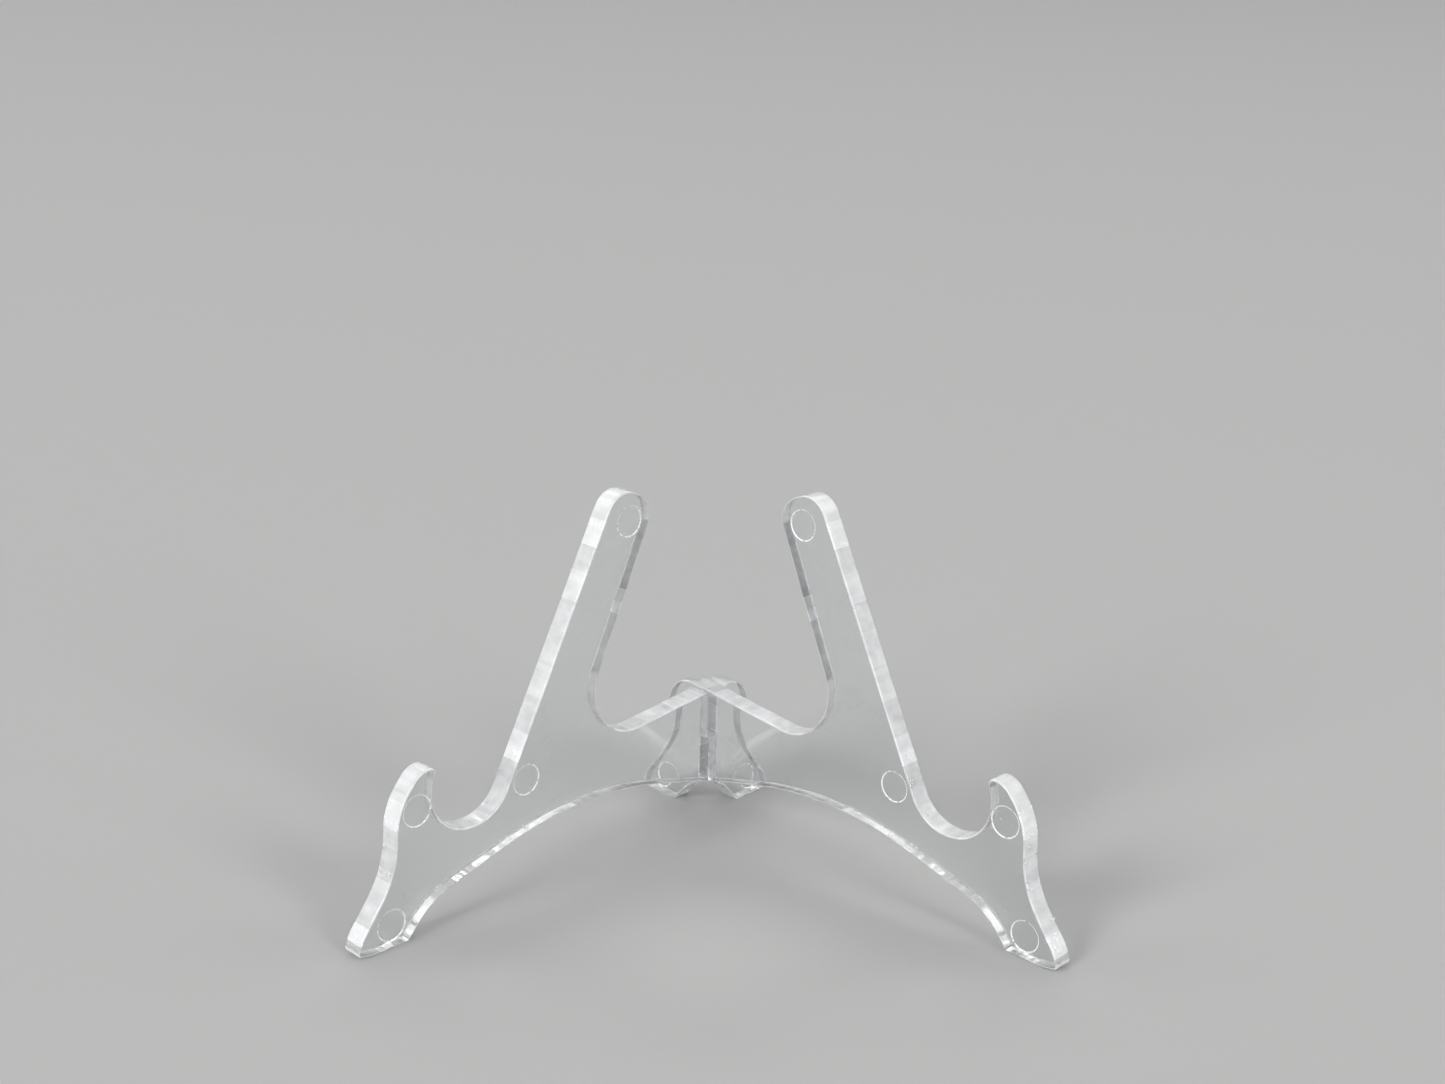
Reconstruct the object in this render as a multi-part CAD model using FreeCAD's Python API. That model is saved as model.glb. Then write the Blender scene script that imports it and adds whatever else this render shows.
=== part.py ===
"""Plate display stand: two clear moulded easel halves that slot together in a cross.

Each half is a flat plate cut to an easel profile. A hooked front leg holds the dish's rim in a
round-bottomed seat, a tall arm behind the seat holds the dish's back, and an arched underside
leaves a front foot and a rear foot. The halves cross at right angles near their rear feet, in two
cross-lap slots, so the stand comes apart by lifting one half off the other.

Units are millimetres. The stand stands on Z = 0, X runs across it and Y runs from front to back.
A profile is drawn in its own plane: s runs back from the toe, z runs up from the surface.
"""

import FreeCAD, Part
import math
import os

# ---- driving dimensions -------------------------------------------------------------------
THICKNESS = 4.8          # of each moulded half
LENGTH = 123.8           # of a half, from its toe to its rear toe
HOOK_HEIGHT = 37.1       # top of the front hook
ARM_HEIGHT = 87.0        # top corner line of the arm, before rounding
TOE_TO_CROSSING = 102.75 # along a half
HALF_ANGLE = 45.0        # each half's turn from the stand's centre line, in degrees

# ---- profile ------------------------------------------------------------------------------
SEAT_FLOOR = 20.5        # lowest point of the round seat that holds the rim
SEAT_RADIUS = 9.9
TOE_OUT = 0.3            # how far outside the rounded toe its corner would be if it were sharp
TOE_HEIGHT = 0.95        # of that corner: the sole rises from the surface to the toe
TOE_RADIUS = 0.9
SOLE_IN = 3.85           # how far in from each toe the sole meets the surface
SOLE_RADIUS = 14.0
HEEL_IN = 12.75          # how far in from each toe the sole ends
HEEL_RADIUS = 0.5
INSTEP_IN = 0.9          # how far in from each toe the leg's outer edge turns from toe to leg
INSTEP_HEIGHT = 4.3
INSTEP_RADIUS = 7.6
LEG_HOLLOW_IN = 9.8      # how far in from each toe the leg's outer edge turns upright
LEG_HOLLOW_HEIGHT = 16.0
LEG_HOLLOW_RADIUS = 22.7
ARCH_KNEE_IN = 18.6      # how far in from each toe the underside turns from foot to arch
ARCH_KNEE_HEIGHT = 7.0
KNEE_RADIUS = 18.0
ARCH_CROWN = 18.9        # height at which the two slopes of the underside would meet
CROWN_RADIUS = 90.0

# ---- cross-lap joint ----------------------------------------------------------------------
SLOT_CLEARANCE = 0.15    # on each side of the other half
SEAT_CLEARANCE = 0.15    # under each slot's end, so that both halves stand on their feet
LEAD_IN = 0.8            # bevel on each side of the slot's mouth, which leads the other half in
SLOT_REACH = 60.0        # how far the slot cutter runs past the profile

# ---- moulding marks -----------------------------------------------------------------------
EJECTOR_RADIUS = 3.6
EJECTOR_DEPTH = 0.15
EJECTORS = {             # centre of each round ejector-pin mark on the inner face: (s, z)
    "foot": (8.35, 5.3),
    "hook": (15.45, 28.8),
    "seat": (44.65, 26.5),
    "arm": (73.85, 78.3),
    "rear foot": (115.45, 5.3),
}
GATE_HEIGHT = 9.1        # of the gate's stub above the surface, on the right half's front edge
GATE_START = 4.15        # s of the stub's cut end, just proud of the front edge
GATE_SIZE = (2.0, 0.9, 1.2)   # along s, across the thickness and up
GATE_ROUND = 0.2         # of the stub's worn edges

EDGE_ROUND = 0.35        # round along both faces' edges, where the mould's parting leaves it

CUTTER_START = 1.0       # how far outside the face the cutters of the ejector marks begin
SAME_POINT = 1e-6        # ends closer together than this are one point


def profile_corners():
    """The outline's corners before rounding, as (s, z, radius), anticlockwise from the toe."""
    rear = LENGTH
    return [
        (-TOE_OUT, TOE_HEIGHT, TOE_RADIUS),
        (SOLE_IN, 0.0, SOLE_RADIUS),
        (HEEL_IN, 0.0, HEEL_RADIUS),
        (ARCH_KNEE_IN, ARCH_KNEE_HEIGHT, KNEE_RADIUS),
        (rear / 2, ARCH_CROWN, CROWN_RADIUS),
        (rear - ARCH_KNEE_IN, ARCH_KNEE_HEIGHT, KNEE_RADIUS),
        (rear - HEEL_IN, 0.0, HEEL_RADIUS),
        (rear - SOLE_IN, 0.0, SOLE_RADIUS),
        (rear + TOE_OUT, TOE_HEIGHT, TOE_RADIUS),
        (rear - INSTEP_IN, INSTEP_HEIGHT, INSTEP_RADIUS),
        (rear - LEG_HOLLOW_IN, LEG_HOLLOW_HEIGHT, LEG_HOLLOW_RADIUS),
        (rear - 10.45, 32.5, 7.0),                # rear leg's shoulder, above the joint
        (57.15, 27.0, 12.0),                      # hollow between the arm and the joint
        (81.85, 81.4, 5.7),                       # arm's tip, behind
        (70.45, ARM_HEIGHT, 5.7),                 # arm's tip, in front
        (36.55, SEAT_FLOOR, SEAT_RADIUS),         # seat, at the arm
        (15.0, SEAT_FLOOR, 10.5),                 # seat, at the hook
        (20.95, HOOK_HEIGHT, 1.3),                # hook's nose
        (16.45, HOOK_HEIGHT, 4.8),                # hook's crest
        (10.4, 30.1, 15.1),                       # hook's shoulder
        (LEG_HOLLOW_IN, LEG_HOLLOW_HEIGHT, LEG_HOLLOW_RADIUS),
        (INSTEP_IN, INSTEP_HEIGHT, INSTEP_RADIUS),
    ]


def rounded_wire(corners):
    """A closed wire through the corners, each rounded to its radius with a tangent arc."""
    points = [FreeCAD.Vector(s, 0, z) for s, z, _ in corners]
    count = len(points)
    arcs = []
    for i, (_, _, radius) in enumerate(corners):
        here = points[i]
        before = (points[i - 1] - here).normalize()
        after = (points[(i + 1) % count] - here).normalize()
        half_corner = before.getAngle(after) / 2
        reach = radius / math.tan(half_corner)
        middle = (before + after).normalize() * (radius / math.sin(half_corner) - radius)
        arcs.append((here + before * reach, here + middle, here + after * reach))
    edges = []
    for i, (start, middle, end) in enumerate(arcs):
        edges.append(Part.Arc(start, middle, end).toShape())
        following = arcs[(i + 1) % count][0]
        if end.distanceToPoint(following) > SAME_POINT:
            edges.append(Part.LineSegment(end, following).toShape())
    return Part.Wire(Part.__sortEdges__(edges))


def plain_plate():
    """The profile at full thickness with its rims rounded, and with no slot or marks."""
    face = Part.Face(rounded_wire(profile_corners()))
    face.translate(FreeCAD.Vector(0, -THICKNESS / 2, 0))
    plate = face.extrude(FreeCAD.Vector(0, THICKNESS, 0))
    rims = [edge for edge in plate.Edges if edge.BoundBox.YLength < THICKNESS / 2]
    return plate.makeFillet(EDGE_ROUND, rims)


def joint_span(plate):
    """Lowest and highest z of the plate on the line where the two halves cross."""
    foot = FreeCAD.Vector(TOE_TO_CROSSING, 0, -SLOT_REACH)
    head = FreeCAD.Vector(TOE_TO_CROSSING, 0, ARM_HEIGHT + SLOT_REACH)
    inside = plate.common(Part.makeLine(foot, head))
    return inside.BoundBox.ZMin, inside.BoundBox.ZMax


def slot_cutter(end, mouth, opens_up):
    """The slot's prism: as wide as the other half, flared at its mouth and open beyond it."""
    reach = SLOT_REACH if opens_up else -SLOT_REACH
    bevel = LEAD_IN if opens_up else -LEAD_IN
    half_width = THICKNESS / 2 + SLOT_CLEARANCE
    right_side = [
        (half_width, end),
        (half_width, mouth - bevel),
        (half_width + LEAD_IN, mouth),
        (half_width + LEAD_IN, mouth + reach),
    ]
    left_side = [(-x, z) for x, z in reversed(right_side)]
    outline = right_side + left_side + right_side[:1]
    points = [FreeCAD.Vector(TOE_TO_CROSSING + x, -THICKNESS, z) for x, z in outline]
    face = Part.Face(Part.makePolygon(points))
    return face.extrude(FreeCAD.Vector(0, 2 * THICKNESS, 0))


def ejector_marks(inner_side):
    """The shallow round marks that the ejector pins leave on the inner face."""
    surface = inner_side * THICKNESS / 2
    marks = []
    for s, z in EJECTORS.values():
        start = FreeCAD.Vector(s, surface + inner_side * CUTTER_START, z)
        axis = FreeCAD.Vector(0, -inner_side, 0)
        marks.append(Part.makeCylinder(EJECTOR_RADIUS, CUTTER_START + EJECTOR_DEPTH, start, axis))
    return Part.makeCompound(marks)


def gate_stub(inner_side):
    """The stub of the moulding gate, on the front edge by the outer face."""
    along, across, up = GATE_SIZE
    near = EDGE_ROUND - THICKNESS / 2 if inner_side > 0 else THICKNESS / 2 - EDGE_ROUND - across
    corner = FreeCAD.Vector(GATE_START, near, GATE_HEIGHT - up / 2)
    stub = Part.makeBox(along, across, up, corner)
    return stub.makeFillet(GATE_ROUND, stub.Edges)


def half_in_its_plane(inner_side, opens_up, gated):
    """One moulded half, lying in the plane of its own profile."""
    plate = plain_plate()
    low, high = joint_span(plate)
    middle = (low + high) / 2
    if opens_up:
        cutter = slot_cutter(middle - SEAT_CLEARANCE, high, True)
    else:
        cutter = slot_cutter(middle + SEAT_CLEARANCE, low, False)
    half = plate.cut(cutter)
    half = half.cut(ejector_marks(inner_side))
    if gated:
        half = half.fuse(gate_stub(inner_side)).removeSplitter()
    return half.Solids[0]


def stand_up(half, turn):
    """Turns a half to its place about the line where the halves cross, which is put at Y = 0."""
    half.translate(FreeCAD.Vector(-TOE_TO_CROSSING, 0, 0))
    half.rotate(FreeCAD.Vector(0, 0, 0), FreeCAD.Vector(0, 0, 1), turn)
    return half


def main():
    left = stand_up(half_in_its_plane(-1, True, False), 90 - HALF_ANGLE)
    right = stand_up(half_in_its_plane(1, False, True), 90 + HALF_ANGLE)
    box = Part.makeCompound([left, right]).optimalBoundingBox(False)
    centring = FreeCAD.Vector(-box.Center.x, -box.Center.y, 0)
    os.makedirs("parts", exist_ok=True)
    for name, half in (("left_half", left), ("right_half", right)):
        half.translate(centring)
        half.exportStep("parts/" + name + ".step")
        print(name, half.isValid(), round(half.Volume, 1), half.optimalBoundingBox(False))
    print("halves overlap", round(left.common(right).Volume, 6), "mm3")
    print("halves cross at Y", round(centring.y, 3))


main()
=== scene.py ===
"""Looks of the plate display stand: two clear moulded easel halves, drawn finely from their profile.

Everything is in metres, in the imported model's frame. A half's profile lies in its own plane:
s runs back from the toe, n runs across the thickness, z runs up.
"""
import math

import bmesh
import bpy
from mathutils import Matrix, Vector


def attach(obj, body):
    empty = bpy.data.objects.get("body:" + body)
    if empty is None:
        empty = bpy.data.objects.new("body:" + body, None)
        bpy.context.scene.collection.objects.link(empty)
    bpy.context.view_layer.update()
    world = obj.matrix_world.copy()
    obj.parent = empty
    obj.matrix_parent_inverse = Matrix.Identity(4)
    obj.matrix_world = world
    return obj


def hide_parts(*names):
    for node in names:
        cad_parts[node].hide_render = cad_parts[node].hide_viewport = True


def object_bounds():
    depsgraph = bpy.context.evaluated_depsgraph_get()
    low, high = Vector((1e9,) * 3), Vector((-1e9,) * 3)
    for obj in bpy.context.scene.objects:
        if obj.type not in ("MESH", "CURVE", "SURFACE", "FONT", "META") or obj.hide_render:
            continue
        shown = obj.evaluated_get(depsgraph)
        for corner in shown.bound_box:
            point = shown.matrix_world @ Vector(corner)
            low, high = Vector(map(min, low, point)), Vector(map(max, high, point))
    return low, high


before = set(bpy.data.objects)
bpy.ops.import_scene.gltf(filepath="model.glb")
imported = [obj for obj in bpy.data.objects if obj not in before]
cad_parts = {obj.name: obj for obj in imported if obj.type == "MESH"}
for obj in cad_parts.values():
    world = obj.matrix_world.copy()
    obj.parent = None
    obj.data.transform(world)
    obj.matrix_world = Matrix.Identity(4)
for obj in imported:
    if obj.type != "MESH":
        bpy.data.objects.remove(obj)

CAD_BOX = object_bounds()
MM = 0.001

# ---- the two halves: the same dimensions as the CAD source ---------------------------------
THICKNESS = 4.8 * MM
LENGTH = 123.8 * MM
HOOK_HEIGHT = 37.1 * MM
ARM_HEIGHT = 87.0 * MM
SEAT_FLOOR = 20.5 * MM
TOE_TO_CROSSING = 102.75 * MM
SLOT_HALF_WIDTH = THICKNESS / 2 + 0.15 * MM
SEAT_CLEARANCE = 0.15 * MM
LEAD_IN = 0.8 * MM
RIM_ROUND = 0.35 * MM
EJECTOR_RADIUS = 3.6 * MM
EJECTOR_DEPTH = 0.15 * MM
RING_WIDTH = 0.30 * MM     # of the step round an ejector mark
EJECTOR_CENTRES = [(8.35, 5.3), (15.45, 28.8), (44.65, 26.5), (73.85, 78.3), (115.45, 5.3)]   # mm
GATE_HEIGHT = 9.1 * MM     # of the gate's stub, on the right half's front edge
GATE_START = 4.15 * MM
GATE_SIZE = Vector((1.2, 0.9, 1.2)) * MM     # along s, across the thickness and up
GATE_ROUND = 0.2 * MM

# Each half stands at 45 degrees, and the box is centred on its ends, which are alike.
DIAGONAL = math.sqrt(0.5)
BOX_MIDDLE_Y = (CAD_BOX[0].y + CAD_BOX[1].y) / 2
CROSSING_Y = BOX_MIDDLE_Y + (2 * TOE_TO_CROSSING - LENGTH) / 2 * DIAGONAL
LEFT_TURN, RIGHT_TURN = 45, 135     # of each half about the upright line where they cross

# ---- fineness -----------------------------------------------------------------------------
ARC_STEP = 0.55 * MM            # longest piece of an arc
ARC_TURN = math.radians(6)      # most that an arc turns from one piece to the next
ARC_PIECES = 4                  # fewest pieces in an arc
LINE_STEP = 2.0 * MM            # longest piece of a straight run
RIM_STEPS = 4
WALL_STEPS = 4
RING_SEGMENTS = 72
RING_SHARES = (0.15, 0.5, 0.85, 1.0)     # of the step's width, where its loops lie
MITRE_LIMIT = 0.3               # keeps a sharp corner from moving too far when it is inset
SHARP_ANGLE = math.radians(35)

# ---- materials of a half, in the order of its material slots ------------------------------
EDGE, FACE, RING = 0, 1, 2

# ---- camera and studio --------------------------------------------------------------------
CAMERA_FROM_CROSSING = Vector((-9.71, -435.02, 212.80)) * MM
CAMERA_HEADING, CAMERA_PITCH, CAMERA_ROLL = (math.radians(angle) for angle in (1.55, 18.56, 1.78))
CAMERA_LENS = 50.15             # in millimetres, on a sensor 36 mm wide
FLOOR_REACH = 20.0              # from the middle of the floor to each side
FLOOR_GAP = 0.03 * MM           # keeps the soles off the floor's own plane
LIGHTS = (                      # name, place, aim, size and power
    ("overhead", (0, 0.8, 12.0), (0, 0.8, 0), (38.0, 38.0), 1500),
    ("key", (-7.2, -6.8, 5.0), (0, 0, 0.03), (4.4, 4.4), 1056),
    ("fill", (7.6, -7.6, 4.8), (0, 0, 0.03), (4.0, 4.8), 736),
    ("left_side", (-9.3, 2.4, 7.4), (0, 0, 0.03), (6.0, 5.4), 200),
    ("right_side", (9.3, 2.4, 7.4), (0, 0, 0.03), (6.0, 5.4), 200),
    ("back", (0.0, 10.0, 9.6), (0, 0, 0.03), (9.0, 1.5), 360),
)


# ---- outline of a half --------------------------------------------------------------------
def profile_corners():
    """The outline's corners before rounding, anticlockwise from the toe, each with its radius."""
    rear = LENGTH / MM
    hook = HOOK_HEIGHT / MM
    seat = SEAT_FLOOR / MM
    corners = [                              # (s, z, radius) in millimetres
        (-0.3, 0.95, 0.9),                   # toe
        (3.85, 0.0, 14.0),                   # sole, where it meets the surface
        (12.75, 0.0, 0.5),                   # heel
        (18.6, 7.0, 18.0),                   # from the foot to the arch
        (rear / 2, 18.9, 90.0),              # arch's crown
        (rear - 18.6, 7.0, 18.0),            # the rear foot, the same way back
        (rear - 12.75, 0.0, 0.5),
        (rear - 3.85, 0.0, 14.0),
        (rear + 0.3, 0.95, 0.9),
        (rear - 0.9, 4.3, 7.6),              # rear leg's instep
        (rear - 9.8, 16.0, 22.7),            # rear leg's hollow
        (rear - 10.45, 32.5, 7.0),           # rear leg's shoulder, above the joint
        (57.15, 27.0, 12.0),                 # hollow between the arm and the joint
        (81.85, 81.4, 5.7),                  # arm's tip, behind
        (70.45, ARM_HEIGHT / MM, 5.7),       # arm's tip, in front
        (36.55, seat, 9.9),                  # seat, at the arm
        (15.0, seat, 10.5),                  # seat, at the hook
        (20.95, hook, 1.3),                  # hook's nose
        (16.45, hook, 4.8),                  # hook's crest
        (10.4, 30.1, 15.1),                  # hook's shoulder
        (9.8, 16.0, 22.7),                   # front leg's hollow
        (0.9, 4.3, 7.6),                     # front leg's instep
    ]
    return [(Vector((s, z)) * MM, radius * MM) for s, z, radius in corners]


def rounded_outline(corners):
    """The corners' outline as points, each corner rounded by a tangent arc."""
    outline = []
    for i, (here, radius) in enumerate(corners):
        before = (corners[i - 1][0] - here).normalized()
        after = (corners[(i + 1) % len(corners)][0] - here).normalized()
        half_corner = before.angle(after) / 2
        centre = here + (before + after).normalized() * (radius / math.sin(half_corner))
        start = here + before * (radius / math.tan(half_corner)) - centre
        end = here + after * (radius / math.tan(half_corner)) - centre
        turn = start.angle_signed(end)
        steps = max(ARC_PIECES, math.ceil(abs(turn) * radius / ARC_STEP), math.ceil(abs(turn) / ARC_TURN))
        if outline:
            outline += straight_run(outline[-1], centre + start)
        for k in range(steps + 1):
            outline.append(centre + Matrix.Rotation(-turn * k / steps, 2) @ start)
    return outline + straight_run(outline[-1], outline[0])


def straight_run(start, end):
    """Points inside a straight run, so that no piece of it is longer than LINE_STEP."""
    count = math.ceil((end - start).length / LINE_STEP)
    return [start.lerp(end, k / count) for k in range(1, count)]


def height_at(outline, s, upper):
    """Where the outline crosses the upright line at s: its highest or lowest crossing."""
    found = []
    for a, b in zip(outline, outline[1:] + outline[:1]):
        if (a.x - s) * (b.x - s) < 0:
            found.append(a.lerp(b, (s - a.x) / (b.x - a.x)).y)
    return max(found) if upper else min(found)


def slot_path(outline, opens_up):
    """The slot's points: its bevelled mouth, one wall, its end, and back up the other wall."""
    high = height_at(outline, TOE_TO_CROSSING, True)
    low = height_at(outline, TOE_TO_CROSSING, False)
    middle = (high + low) / 2
    end = middle - SEAT_CLEARANCE if opens_up else middle + SEAT_CLEARANCE
    inward = -1 if opens_up else 1
    walls = []
    for side in (-1, 1):
        wall_s = TOE_TO_CROSSING + side * SLOT_HALF_WIDTH
        mouth_s = wall_s + side * LEAD_IN
        mouth = Vector((mouth_s, height_at(outline, mouth_s, opens_up)))
        bevel = Vector((wall_s, (high if opens_up else low) + inward * LEAD_IN))
        walls.append([mouth, bevel, Vector((wall_s, end))])
    path = walls[0] + walls[1][::-1]
    if opens_up:
        path.reverse()
    return path, middle


def cut_slot(outline, opens_up):
    """The outline with the cross-lap slot let into it."""
    path, middle = slot_path(outline, opens_up)
    reach = SLOT_HALF_WIDTH + LEAD_IN
    kept = []
    placed = False
    for point in outline:
        at_slot = abs(point.x - TOE_TO_CROSSING) <= reach and (point.y > middle) == opens_up
        if not at_slot:
            kept.append(point)
        elif not placed:
            kept += path
            placed = True
    return kept


def inset(outline, distance):
    """The outline moved inwards by a distance, with its corners kept sharp."""
    moved = []
    for i, here in enumerate(outline):
        a = (here - outline[i - 1]).normalized()
        b = (outline[(i + 1) % len(outline)] - here).normalized()
        left_a = Vector((-a.y, a.x))
        left_b = Vector((-b.y, b.x))
        mitre = (left_a + left_b).normalized()
        moved.append(here + mitre * (distance / max(MITRE_LIMIT, mitre.dot(left_a))))
    return moved


# ---- mesh of a half -----------------------------------------------------------------------
def add_loop(mesh, outline, n):
    return [mesh.verts.new((p.x, n, p.y)) for p in outline]


def bridge(mesh, first, second, material):
    """Quads between two loops of the same length."""
    count = len(first)
    for i in range(count):
        j = (i + 1) % count
        face = mesh.faces.new((first[i], first[j], second[j], second[i]))
        face.material_index = material


def circle(centre, radius, segments):
    step = 2 * math.pi / segments
    return [centre + Vector((math.cos(k * step), math.sin(k * step))) * radius for k in range(segments)]


def fill_flat(mesh, loops, material):
    """Triangles over a flat face bounded by its outer loop and, inside it, any holes."""
    edges = []
    for loop in loops:
        for a, b in zip(loop, loop[1:] + loop[:1]):
            edges.append(mesh.edges.get((a, b)) or mesh.edges.new((a, b)))
    made = bmesh.ops.triangle_fill(mesh, use_beauty=True, use_dissolve=False, edges=edges)
    for item in made["geom"]:
        if isinstance(item, bmesh.types.BMFace):
            item.material_index = material


def ejector_mark(mesh, centre, face_n, inward):
    """A shallow round mark with a softened step, and the loop where it meets the face."""
    rim = add_loop(mesh, circle(centre, EJECTOR_RADIUS, RING_SEGMENTS), face_n)
    outer = rim
    for share in RING_SHARES:
        radius = EJECTOR_RADIUS - RING_WIDTH * share
        depth = EJECTOR_DEPTH * (1 - math.cos(math.pi * share)) / 2
        loop = add_loop(mesh, circle(centre, radius, RING_SEGMENTS), face_n + inward * depth)
        bridge(mesh, outer, loop, RING)
        outer = loop
    fill_flat(mesh, [outer], FACE)
    return rim


def gate_stub(mesh, inner_side):
    """The snapped-off stub of the moulding gate, with softened corners, beside the outer face."""
    across = inner_side * (RIM_ROUND + GATE_SIZE.y / 2 - THICKNESS / 2)
    centre = Vector((GATE_START + GATE_SIZE.x / 2, across, GATE_HEIGHT))
    place = Matrix.LocRotScale(centre, None, GATE_SIZE)
    made = bmesh.ops.create_cube(mesh, size=1, matrix=place)
    edges = {edge for vertex in made["verts"] for edge in vertex.link_edges}
    bmesh.ops.bevel(mesh, geom=list(edges), offset=GATE_ROUND, segments=3, affect="EDGES", material=RING)


def section_layers():
    """The loops from one face to the other, as (n, how far inside the outline): rim, wall, rim."""
    half = THICKNESS / 2
    layers = []
    for k in range(RIM_STEPS, -1, -1):
        angle = math.pi / 2 * k / RIM_STEPS
        layers.append((-half + RIM_ROUND * (1 - math.sin(angle)), RIM_ROUND * (1 - math.cos(angle))))
    for k in range(1, WALL_STEPS):
        layers.append((-half + RIM_ROUND + (THICKNESS - 2 * RIM_ROUND) * k / WALL_STEPS, 0.0))
    return layers + [(-n, distance) for n, distance in reversed(layers[:RIM_STEPS + 1])]


def half_mesh(name, opens_up, inner_side, gated):
    """One half in its own plane, with rounded rims, its slot and the marks on its inner face."""
    outline = cut_slot(rounded_outline(profile_corners()), opens_up)
    layers = section_layers()
    mesh = bmesh.new()
    loops = []
    for n, distance in layers:
        loops.append(add_loop(mesh, inset(outline, distance), n))
    for first, second in zip(loops, loops[1:]):
        bridge(mesh, first, second, EDGE)
    inner, outer = (loops[-1], loops[0]) if inner_side > 0 else (loops[0], loops[-1])
    marks = []
    for s, z in EJECTOR_CENTRES:
        centre = Vector((s, z)) * MM
        marks.append(ejector_mark(mesh, centre, inner_side * THICKNESS / 2, -inner_side))
    fill_flat(mesh, [inner] + marks, FACE)
    fill_flat(mesh, [outer], FACE)
    if gated:
        gate_stub(mesh, inner_side)
    bmesh.ops.recalc_face_normals(mesh, faces=mesh.faces)
    data = bpy.data.meshes.new(name)
    mesh.to_mesh(data)
    mesh.free()
    store_places(data, outline, len(layers))
    return data


def store_places(data, outline, layer_count):
    """Keeps each point's place in the half's plane, and how far round the outline it is, in mm."""
    plane = data.attributes.new("plane", "FLOAT_VECTOR", "POINT")
    for vertex, place in zip(data.vertices, plane.data):
        place.vector = vertex.co / MM
    travelled = [0.0]
    for a, b in zip(outline, outline[1:]):
        travelled.append(travelled[-1] + (b - a).length / MM)
    run = data.attributes.new("run", "FLOAT", "POINT")
    for i in range(layer_count * len(outline)):
        run.data[i].value = travelled[i % len(outline)]


def place_half(data, name, turn, body, node):
    """Turns a half to its place in the stand and rides it on its body."""
    data.transform(Matrix.Translation((-TOE_TO_CROSSING, 0, 0)))
    data.transform(Matrix.Rotation(math.radians(turn), 4, "Z"))
    data.transform(Matrix.Translation((0, CROSSING_Y, 0)))
    for polygon in data.polygons:
        polygon.use_smooth = True
    data.set_sharp_from_angle(angle=SHARP_ANGLE)
    piece = bpy.data.objects.new(name, data)
    bpy.context.scene.collection.objects.link(piece)
    weighted = piece.modifiers.new("face_normals", "WEIGHTED_NORMAL")
    weighted.keep_sharp = True
    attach(piece, body)
    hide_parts(node)


# ---- materials ----------------------------------------------------------------------------
class Nodes:
    """A short way to add shader nodes to one material and to join them."""

    def __init__(self, name):
        self.material = bpy.data.materials.new(name)
        self.material.use_nodes = True
        self.tree = self.material.node_tree
        self.shader = self.tree.nodes["Principled BSDF"]

    def add(self, kind, inputs=None, **settings):
        """A node with its settings made, and its inputs set to values or to other nodes' outputs."""
        node = self.tree.nodes.new("ShaderNode" + kind)
        for key, value in settings.items():
            setattr(node, key, value)
        for key, value in (inputs or {}).items():
            self.feed(node.inputs[key], value)
        return node

    def feed(self, socket, value):
        if isinstance(value, bpy.types.NodeSocket):
            self.tree.links.new(value, socket)
        else:
            socket.default_value = value

    def plane(self, scale=1.0):
        """The place in the half's own plane, in millimetres, times a scale."""
        place = self.add("Attribute", attribute_name="plane")
        scaled = self.add("Mapping", {"Vector": place.outputs["Vector"], "Scale": (scale, scale, scale)})
        return scaled.outputs["Vector"]

    def run(self, scale):
        """A place that changes only round the outline, so that its marks run across an edge."""
        run = self.add("Attribute", attribute_name="run")
        scaled = self.math("MULTIPLY", run.outputs["Fac"], scale)
        return self.add("CombineXYZ", {"X": scaled}).outputs["Vector"]

    def math(self, operation, first, second=0.0):
        node = self.add("Math", operation=operation)
        self.feed(node.inputs[0], first)
        self.feed(node.inputs[1], second)
        return node.outputs[0]

    def noise(self, place, detail, roughness=0.5):
        inputs = {"Vector": place, "Scale": 1.0, "Detail": detail, "Roughness": roughness}
        return self.add("TexNoise", inputs).outputs["Fac"]

    def span(self, value, low, high, to_low=0.0, to_high=1.0):
        """A value's range carried to another range, and held inside it."""
        inputs = {"Value": value, "From Min": low, "From Max": high, "To Min": to_low, "To Max": to_high}
        return self.add("MapRange", inputs).outputs["Result"]

    def bump(self, height, distance, strength=1.0, under=None):
        inputs = {"Height": height, "Distance": distance, "Strength": strength}
        if under is not None:
            inputs["Normal"] = under
        return self.add("Bump", inputs).outputs["Normal"]


def clear_plastic(name):
    """Colourless moulded plastic, to be given its surface."""
    nodes = Nodes(name)
    shader = nodes.shader
    shader.inputs["Base Color"].default_value = (0.975, 0.985, 0.99, 1)
    shader.inputs["Transmission Weight"].default_value = 1
    shader.inputs["IOR"].default_value = 1.49
    return nodes


def face_plastic():
    """The polished flat faces: faint flow waves, hairline scratches and specks of dust."""
    nodes = clear_plastic("clear_face")
    waves = nodes.noise(nodes.plane(0.05), 1.0)
    scratches = nodes.math("MAXIMUM", hairlines(nodes, 25, 0.0), hairlines(nodes, -50, 7.0))
    specks = dust(nodes)
    haze = nodes.noise(nodes.plane(0.12), 4.0, 0.6)
    marks = nodes.math("MAXIMUM", nodes.math("MULTIPLY", scratches, 0.75), specks)
    polish = nodes.span(haze, 0.35, 0.7, 0.012, 0.05)
    roughness = nodes.math("ADD", polish, nodes.math("MULTIPLY", marks, 0.3))
    nodes.feed(nodes.shader.inputs["Roughness"], roughness)
    normal = nodes.bump(waves, 0.0004, 0.5)
    normal = nodes.bump(nodes.math("MULTIPLY", marks, -1.0), 0.00002, 1.0, normal)
    nodes.feed(nodes.shader.inputs["Normal"], normal)
    return nodes.material


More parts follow.
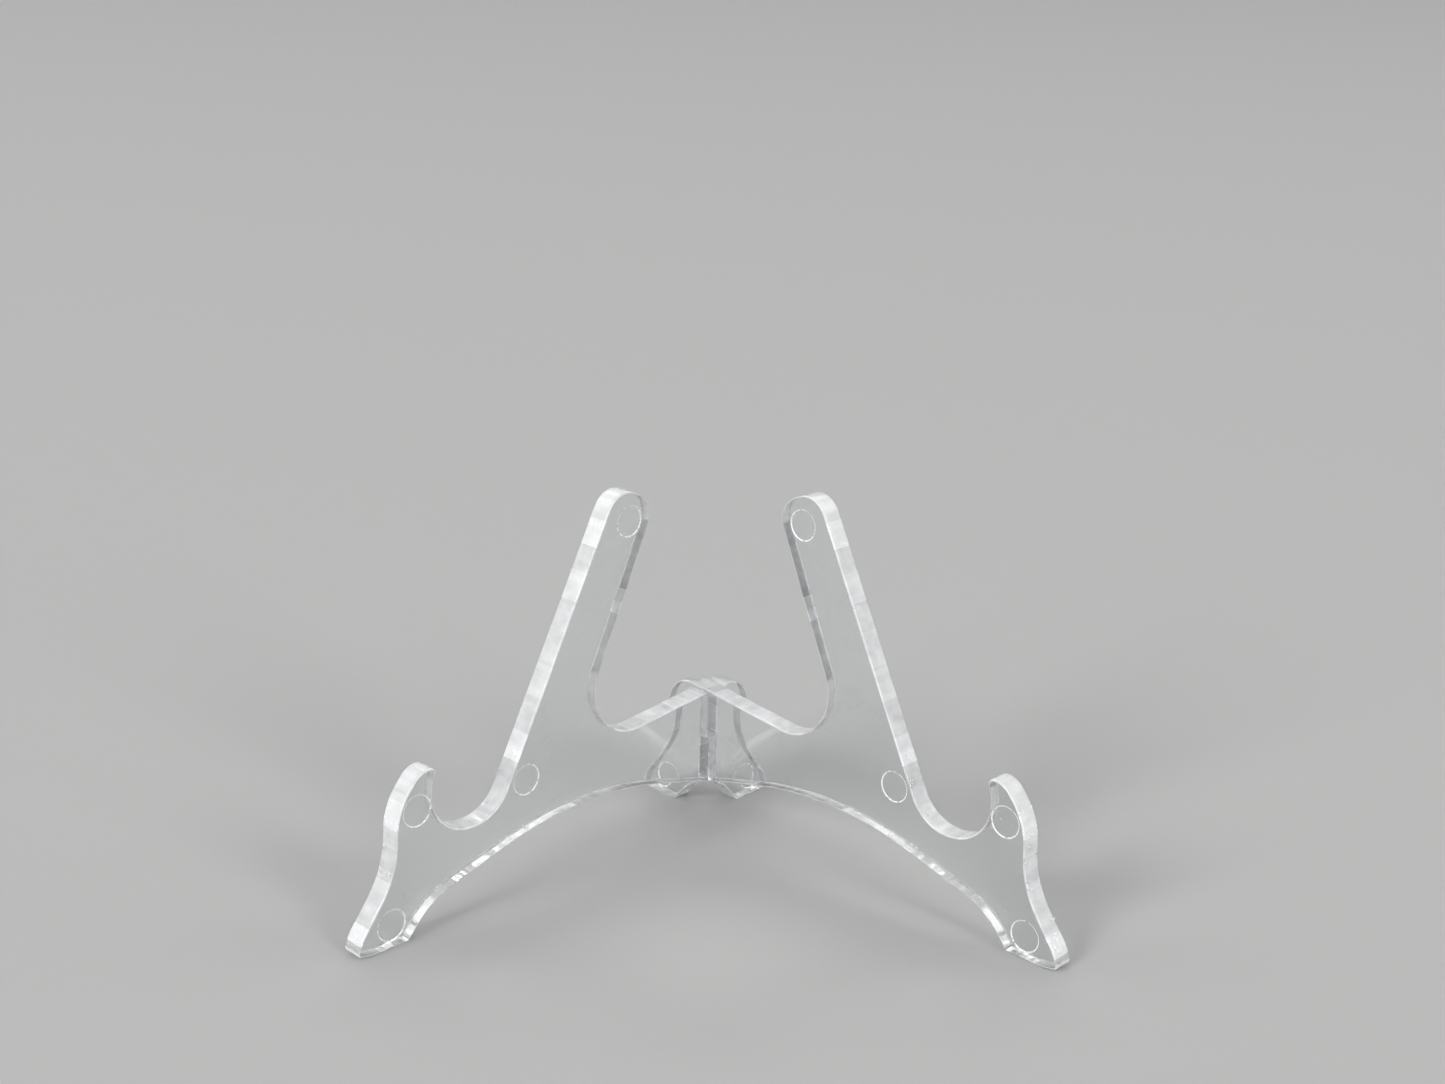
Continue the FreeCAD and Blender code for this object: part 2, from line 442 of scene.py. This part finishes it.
def hairlines(nodes, angle, shift):
    """Sparse long thin scratches that run one way."""
    inputs = {"Vector": nodes.plane(), "Axis": (0, 1, 0), "Angle": math.radians(angle)}
    turned = nodes.add("VectorRotate", inputs)
    stretched = nodes.add("Mapping", {"Vector": turned.outputs["Vector"], "Scale": (0.06, 1, 2.2)})
    stretched.inputs["Location"].default_value = (shift, shift, shift)
    lines = nodes.noise(stretched.outputs["Vector"], 0.0)
    thin = nodes.math("ABSOLUTE", nodes.math("SUBTRACT", lines, 0.5))
    drawn = nodes.span(thin, 0.0, 0.006, 1.0, 0.0)
    patches = nodes.span(nodes.noise(nodes.plane(0.09), 2.0), 0.56, 0.66)
    return nodes.math("MULTIPLY", drawn, patches)


def dust(nodes):
    """Scattered specks, a few tenths of a millimetre across, present in only a few cells."""
    cells = nodes.add("TexVoronoi", {"Vector": nodes.plane(), "Scale": 0.22})
    chosen = nodes.add("SeparateColor", {"Color": cells.outputs["Color"]}).outputs["Red"]
    size = nodes.span(chosen, 0.68, 1.0, 0.0, 0.05)
    return nodes.math("LESS_THAN", cells.outputs["Distance"], size)


def facets(nodes, length):
    """Crisp facets across an edge: each cell of the run has its own shade and its own slight tilt."""
    run = nodes.add("Attribute", attribute_name="run").outputs["Fac"]
    place = nodes.math("MULTIPLY", run, 1 / length)
    cells = nodes.add("TexVoronoi", {"W": place, "Scale": 1.0}, voronoi_dimensions="1D")
    shade = nodes.add("SeparateColor", {"Color": cells.outputs["Color"]}).outputs["Red"]
    slope = nodes.math("SUBTRACT", shade, 0.5)
    offset = nodes.math("SUBTRACT", place, cells.outputs["W"])
    return shade, nodes.math("MULTIPLY", offset, slope)


def edge_plastic():
    """The edges: less polished, with facets across them where the mould's outline was cut."""
    nodes = clear_plastic("clear_edge")
    shade, tilt = facets(nodes, 7.0)
    waves = nodes.noise(nodes.run(0.22), 2.0)
    mottle = nodes.noise(nodes.plane(0.28), 3.0)
    streaks = nodes.noise(nodes.run(1.3), 1.0)
    banded = nodes.math("ADD", nodes.math("MULTIPLY", shade, 0.32), nodes.math("MULTIPLY", waves, 0.38))
    cloudy = nodes.math("ADD", banded, nodes.math("MULTIPLY", mottle, 0.3))
    nodes.feed(nodes.shader.inputs["Roughness"], nodes.span(cloudy, 0.3, 0.7, 0.1, 0.3))
    nodes.feed(nodes.shader.inputs["Transmission Weight"], nodes.span(cloudy, 0.3, 0.7, 0.78, 0.4))
    normal = nodes.bump(waves, 0.0008, 0.7)
    normal = nodes.bump(tilt, 0.0007, 0.6, normal)
    normal = nodes.bump(streaks, 0.00002, 0.6, normal)
    nodes.feed(nodes.shader.inputs["Normal"], normal)
    return nodes.material


def ring_plastic():
    """The step round an ejector mark: scuffed by the pin, so it catches the light as a fine line."""
    nodes = clear_plastic("clear_ring")
    scuffs = nodes.noise(nodes.plane(1.5), 3.0)
    nodes.feed(nodes.shader.inputs["Roughness"], nodes.span(scuffs, 0.3, 0.7, 0.2, 0.45))
    nodes.feed(nodes.shader.inputs["Transmission Weight"], nodes.span(scuffs, 0.3, 0.7, 0.68, 0.3))
    nodes.feed(nodes.shader.inputs["Normal"], nodes.bump(scuffs, 0.00003))
    return nodes.material


def make_halves():
    slots = (edge_plastic(), face_plastic(), ring_plastic())     # in the order EDGE, FACE, RING
    for body, opens_up, inner_side, gated, turn in (
        ("left", True, -1, False, LEFT_TURN),
        ("right", False, 1, True, RIGHT_TURN),
    ):
        name = body + "_half_moulding"
        data = half_mesh(name, opens_up, inner_side, gated)
        for material in slots:
            data.materials.append(material)
        place_half(data, name, turn, body, body + "_half")


# ---- camera and studio --------------------------------------------------------------------
def make_camera():
    """The camera, looking slightly down on the stand from in front."""
    level = math.cos(CAMERA_PITCH)
    forward = Vector((
        math.sin(CAMERA_HEADING) * level,
        math.cos(CAMERA_HEADING) * level,
        -math.sin(CAMERA_PITCH),
    ))
    right = Vector((math.cos(CAMERA_HEADING), -math.sin(CAMERA_HEADING), 0))
    up = right.cross(forward)
    turn = Matrix((right, up, -forward)).transposed() @ Matrix.Rotation(CAMERA_ROLL, 3, "Z")
    data = bpy.data.cameras.new("camera")
    data.sensor_width = 36
    data.lens = CAMERA_LENS
    data.clip_start = 0.01
    camera = bpy.data.objects.new("camera", data)
    place = CAMERA_FROM_CROSSING + Vector((0, CROSSING_Y, 0))
    camera.matrix_world = Matrix.Translation(place) @ turn.to_4x4()
    bpy.context.scene.collection.objects.link(camera)
    bpy.context.scene.camera = camera


def area_light(name, place, aim, size, power):
    data = bpy.data.lights.new(name, "AREA")
    data.shape = "RECTANGLE"
    data.size, data.size_y = size
    data.energy = power
    light = bpy.data.objects.new(name, data)
    light.location = place
    light.rotation_mode = "QUATERNION"
    light.rotation_quaternion = (Vector(aim) - Vector(place)).to_track_quat("-Z", "Y")
    bpy.context.scene.collection.objects.link(light)


def make_floor():
    """A plain pale matt floor."""
    data = bpy.data.meshes.new("floor")
    signs = ((-1, -1), (1, -1), (1, 1), (-1, 1))
    corners = [(x * FLOOR_REACH, y * FLOOR_REACH, -FLOOR_GAP) for x, y in signs]
    data.from_pydata(corners, [], [(0, 1, 2, 3)])
    floor = bpy.data.objects.new("floor", data)
    bpy.context.scene.collection.objects.link(floor)
    material = bpy.data.materials.new("pale_floor")
    material.use_nodes = True
    shader = material.node_tree.nodes["Principled BSDF"]
    shader.inputs["Base Color"].default_value = (0.38, 0.38, 0.375, 1)
    shader.inputs["Roughness"].default_value = 0.95
    shader.inputs["Specular IOR Level"].default_value = 0.15
    data.materials.append(material)


def make_light():
    """Soft light all round, and enough bounces for light to pass through several clear walls."""
    world = bpy.data.worlds.new("studio")
    world.use_nodes = True
    world.node_tree.nodes["Background"].inputs["Color"].default_value = (0.8, 0.82, 0.85, 1)
    world.node_tree.nodes["Background"].inputs["Strength"].default_value = 0.22
    bpy.context.scene.world = world
    for light in LIGHTS:
        area_light(*light)
    bpy.context.scene.view_settings.view_transform = "Standard"
    light_paths = bpy.context.scene.cycles
    light_paths.max_bounces = 32
    light_paths.transmission_bounces = 32
    light_paths.glossy_bounces = 16


make_camera()
make_floor()
make_light()
make_halves()
